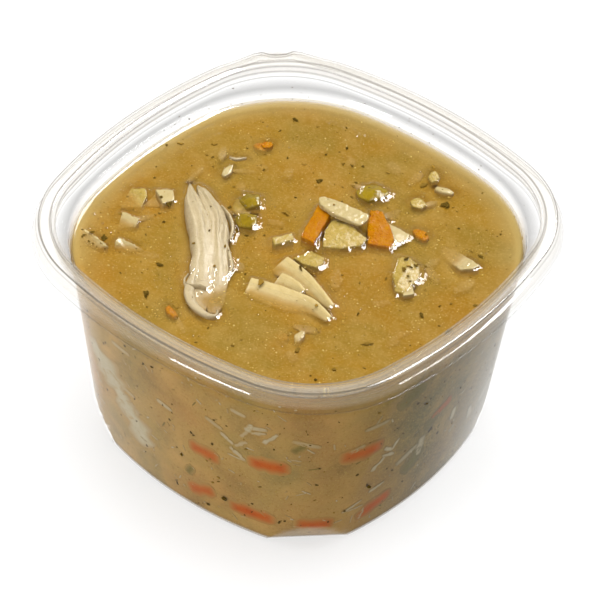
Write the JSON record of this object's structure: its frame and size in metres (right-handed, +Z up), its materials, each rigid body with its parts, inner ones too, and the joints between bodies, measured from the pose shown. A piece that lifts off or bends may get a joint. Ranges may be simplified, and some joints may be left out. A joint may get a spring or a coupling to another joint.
{
  "type": "chicken noodle soup in a clear deli tub",
  "caption": "Chicken noodle soup with shredded chicken, carrot, celery and flat noodles, in a rounded square clear plastic deli tub with a stepped rim and lifting tab.",
  "frame": {"origin": "centre of the tub's footprint, at the table surface that its foot ring stands on", "axes": "+Z up out of the tub; +X and +Y square to its bowed sides, with the lifting tab on the corner at -X, +Y"},
  "size_m": [0.1344, 0.1344, 0.0758],
  "materials": {
    "clear_plastic": "clear thin-wall plastic, glossy, slightly reflective",
    "broth": "wet, cloudy golden-brown broth with a glossy level surface",
    "chicken": "wet, fibrous cooked chicken breast",
    "carrot": "wet cooked carrot",
    "noodle": "wet cooked egg noodle",
    "celery": "wet cooked green celery",
    "pale_celery": "wet cooked pale celery"
  },
  "bodies": {
    "root": {"tub": "clear_plastic", "soup": "broth", "chicken_shred": "chicken", "carrot_left": "carrot", "carrot_right": "carrot", "noodle_bridge": "noodle", "noodle_behind": "noodle", "noodle_under_herbs": "noodle", "noodle_wide": "noodle", "noodle_short": "noodle", "noodle_long": "noodle", "noodle_right": "noodle", "noodle_corner": "noodle", "noodle_left_upper": "noodle", "noodle_left_wedge": "noodle", "noodle_left_lower": "noodle", "celery_middle": "pale_celery", "celery_cube": "pale_celery", "celery_front": "pale_celery", "celery_herbed": "pale_celery", "celery_left": "pale_celery", "celery_back": "celery", "celery_pair_far": "celery", "celery_pair_near": "celery"}
  },
  "joints": []
}
